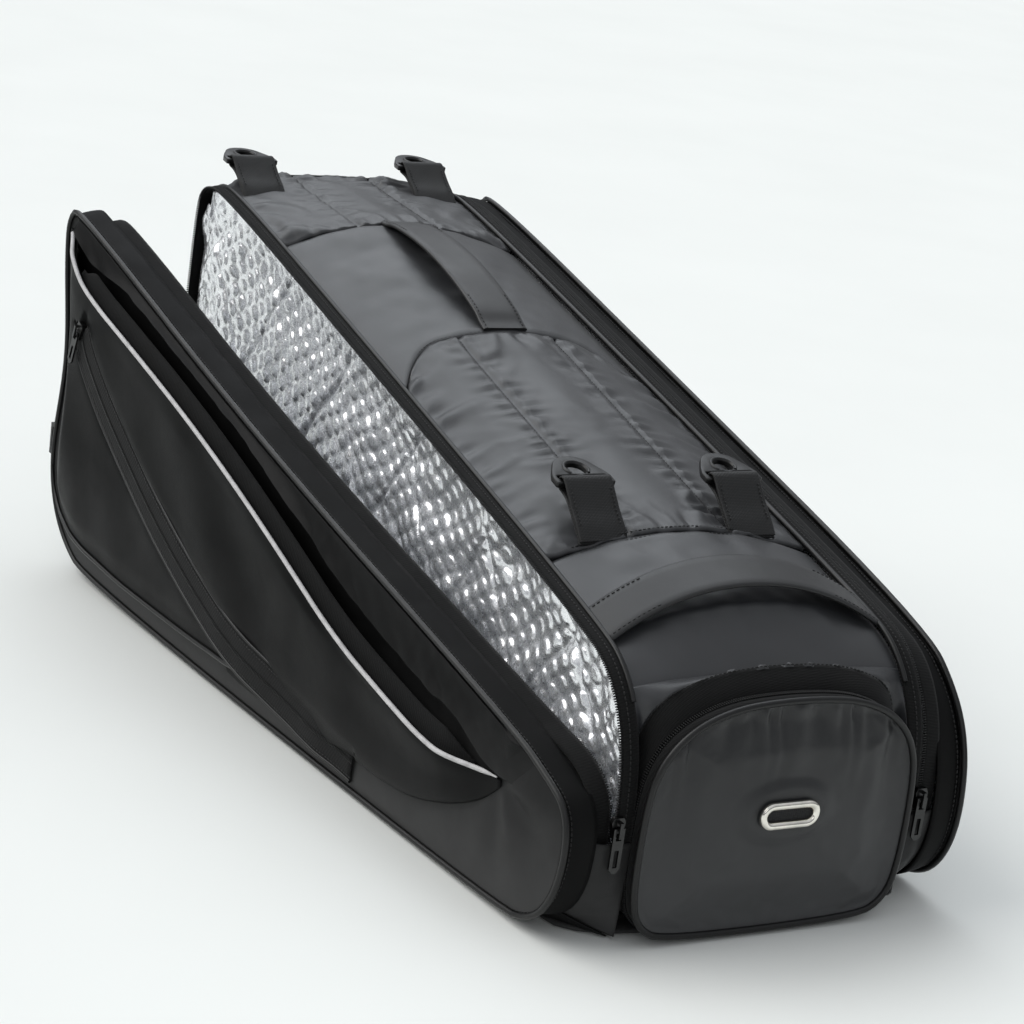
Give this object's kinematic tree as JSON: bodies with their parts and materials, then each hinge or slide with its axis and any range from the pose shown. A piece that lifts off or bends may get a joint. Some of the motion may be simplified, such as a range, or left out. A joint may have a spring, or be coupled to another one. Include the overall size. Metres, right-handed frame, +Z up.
{
  "type": "racket tournament bag",
  "caption": "Wedge-shaped racket bag with zipped foil-lined side compartments, a shoe compartment with a domed door, carry handles and hooks for shoulder straps.",
  "frame": {"origin": "middle of the flat base panel, on the floor", "axes": "+X along the bag towards the shoe door, +Y towards the closed side, +Z up"},
  "size_m": [0.8187, 0.4023, 0.3526],
  "materials": {
    "bag_fabric": "coated nylon, soft sheen",
    "lining": "plain woven lining",
    "board": "stiffener board",
    "foil": "bubble foil, crinkled",
    "zip_tape": "woven tape",
    "zip_coil": "nylon coil",
    "piping": "coated piping",
    "reflective": "reflective piping",
    "webbing": "ribbed webbing",
    "hook_plastic": "moulded, satin gloss",
    "zip_metal": "black enamel",
    "eyelet_metal": "polished nickel",
    "mesh": "fine mesh"
  },
  "bodies": {
    "bag": {"base_board": "board", "bottom_panel": "bag_fabric", "divider_left": "lining", "divider_right": "lining", "door_zip_tape": "zip_tape", "far_end_panel": "bag_fabric", "foil_floor_left": "foil", "foil_floor_right": "foil", "foil_wall_left": "foil", "foil_wall_right": "foil", "handle_ends": "webbing", "mouth_frame": "bag_fabric", "shoe_bulkhead": "lining", "strap_tabs": "webbing", "top_pad_far": "bag_fabric", "top_pad_near": "bag_fabric", "top_panel_mid": "bag_fabric", "top_panel_near": "bag_fabric", "zip_coil_left": "zip_coil", "zip_coil_right": "zip_coil", "zip_tape_left": "zip_tape", "zip_tape_right": "zip_tape"},
    "left_cover": {"left_side_panel": "bag_fabric", "left_gusset": "bag_fabric", "left_foil_lining": "foil", "left_cover_tape": "zip_tape", "left_piping": "piping", "outer_pocket": "bag_fabric", "reflective_piping": "reflective", "pocket_zip_tape": "zip_tape", "side_tab": "webbing"},
    "right_cover": {"right_side_panel": "bag_fabric", "right_gusset": "bag_fabric", "right_foil_lining": "foil", "right_cover_tape": "zip_tape", "right_piping": "piping"},
    "shoe_door": {"door_panel": "bag_fabric", "door_rim": "bag_fabric", "door_piping": "piping", "eyelet_ring": "eyelet_metal", "eyelet_washer": "eyelet_metal", "vent_mesh": "mesh"},
    "left_slider": {"left_slider": "zip_metal"},
    "left_pull": {"left_pull": "zip_metal"},
    "right_slider": {"right_slider": "zip_metal"},
    "right_pull": {"right_pull": "zip_metal"},
    "door_slider": {"door_slider": "zip_metal"},
    "door_pull": {"door_pull": "zip_metal"},
    "pocket_slider": {"pocket_slider": "zip_metal"},
    "pocket_pull": {"pocket_pull": "zip_metal"},
    "near_hook_left": {"near_hook_left": "hook_plastic"},
    "near_hook_right": {"near_hook_right": "hook_plastic"},
    "far_hook_left": {"far_hook_left": "hook_plastic"},
    "far_hook_right": {"far_hook_right": "hook_plastic"},
    "long_handle": {"long_handle": "webbing"},
    "end_handle": {"end_handle": "webbing"},
    "side_buckle": {"side_buckle": "hook_plastic"}
  },
  "joints": [
    {"name": "left_cover_swing", "type": "hinge", "parent": "bag", "child": "left_cover", "pos_m": [0.392, -0.15, 0], "axis": [0, 0, 1], "range_deg": [-5.5, 10]},
    {"name": "right_cover_swing", "type": "hinge", "parent": "bag", "child": "right_cover", "pos_m": [0.392, 0.15, 0], "axis": [0, 0, -1], "range_deg": [0, 14]},
    {"name": "shoe_door_fold", "type": "hinge", "parent": "bag", "child": "shoe_door", "pos_m": [0.4022, 0, 0.003], "axis": [0, 1, 0], "range_deg": [0, 75]},
    {"name": "left_slider_run", "type": "slide", "parent": "bag", "child": "left_slider", "axis": [0, 0, 1], "range_m": [-0.02, 0.02]},
    {"name": "left_pull_swing", "type": "hinge", "parent": "left_slider", "child": "left_pull", "pos_m": [0.39575, -0.1183, 0.084], "axis": [0, -1, 0], "range_deg": [0, 170]},
    {"name": "right_slider_run", "type": "slide", "parent": "bag", "child": "right_slider", "axis": [0, 0, 1], "range_m": [-0.02, 0.02]},
    {"name": "right_pull_swing", "type": "hinge", "parent": "right_slider", "child": "right_pull", "pos_m": [0.39575, 0.1183, 0.084], "axis": [0, -1, 0], "range_deg": [0, 170]},
    {"name": "door_slider_run", "type": "slide", "parent": "bag", "child": "door_slider", "axis": [0, 0, 1], "range_m": [-0.008, 0.008]},
    {"name": "door_pull_swing", "type": "hinge", "parent": "door_slider", "child": "door_pull", "pos_m": [0.3885, 0.10935, 0.041], "axis": [1, 0, 0], "range_deg": [0, 45]},
    {"name": "pocket_slider_run", "type": "slide", "parent": "left_cover", "child": "pocket_slider", "axis": [-0.2986, -0.0287, -0.9539], "range_m": [0, 0.02]},
    {"name": "pocket_pull_swing", "type": "hinge", "parent": "pocket_slider", "child": "pocket_pull", "pos_m": [-0.30232, -0.24262, 0.214], "axis": [-0.9496, -0.0914, 0.3], "range_deg": [0, 170]},
    {"name": "side_buckle_swing", "type": "hinge", "parent": "left_cover", "child": "side_buckle", "pos_m": [-0.39118, -0.21707, 0.092], "axis": [0, 0, 1], "range_deg": [-50, 50]},
    {"name": "long_handle_tip", "type": "hinge", "parent": "bag", "child": "long_handle", "pos_m": [-0.1335, 0, 0.316], "axis": [0.9812, 0, -0.1932], "range_deg": [-22, 22]},
    {"name": "end_handle_tip", "type": "hinge", "parent": "bag", "child": "end_handle", "pos_m": [0.314, 0, 0.1965], "axis": [0, 1, 0], "range_deg": [-18, 18]},
    {"name": "near_hook_left_swing", "type": "hinge", "parent": "bag", "child": "near_hook_left", "pos_m": [0.203, -0.06, 0.247], "axis": [0, 1, 0], "range_deg": [-18, 140]},
    {"name": "far_hook_left_swing", "type": "hinge", "parent": "bag", "child": "far_hook_left", "pos_m": [-0.362, -0.08, 0.346], "axis": [0, 1, 0], "range_deg": [-28, 140]},
    {"name": "near_hook_right_swing", "type": "hinge", "parent": "bag", "child": "near_hook_right", "pos_m": [0.203, 0.06, 0.247], "axis": [0, 1, 0], "range_deg": [-18, 140]},
    {"name": "far_hook_right_swing", "type": "hinge", "parent": "bag", "child": "far_hook_right", "pos_m": [-0.362, 0.08, 0.346], "axis": [0, 1, 0], "range_deg": [-28, 140]}
  ]
}
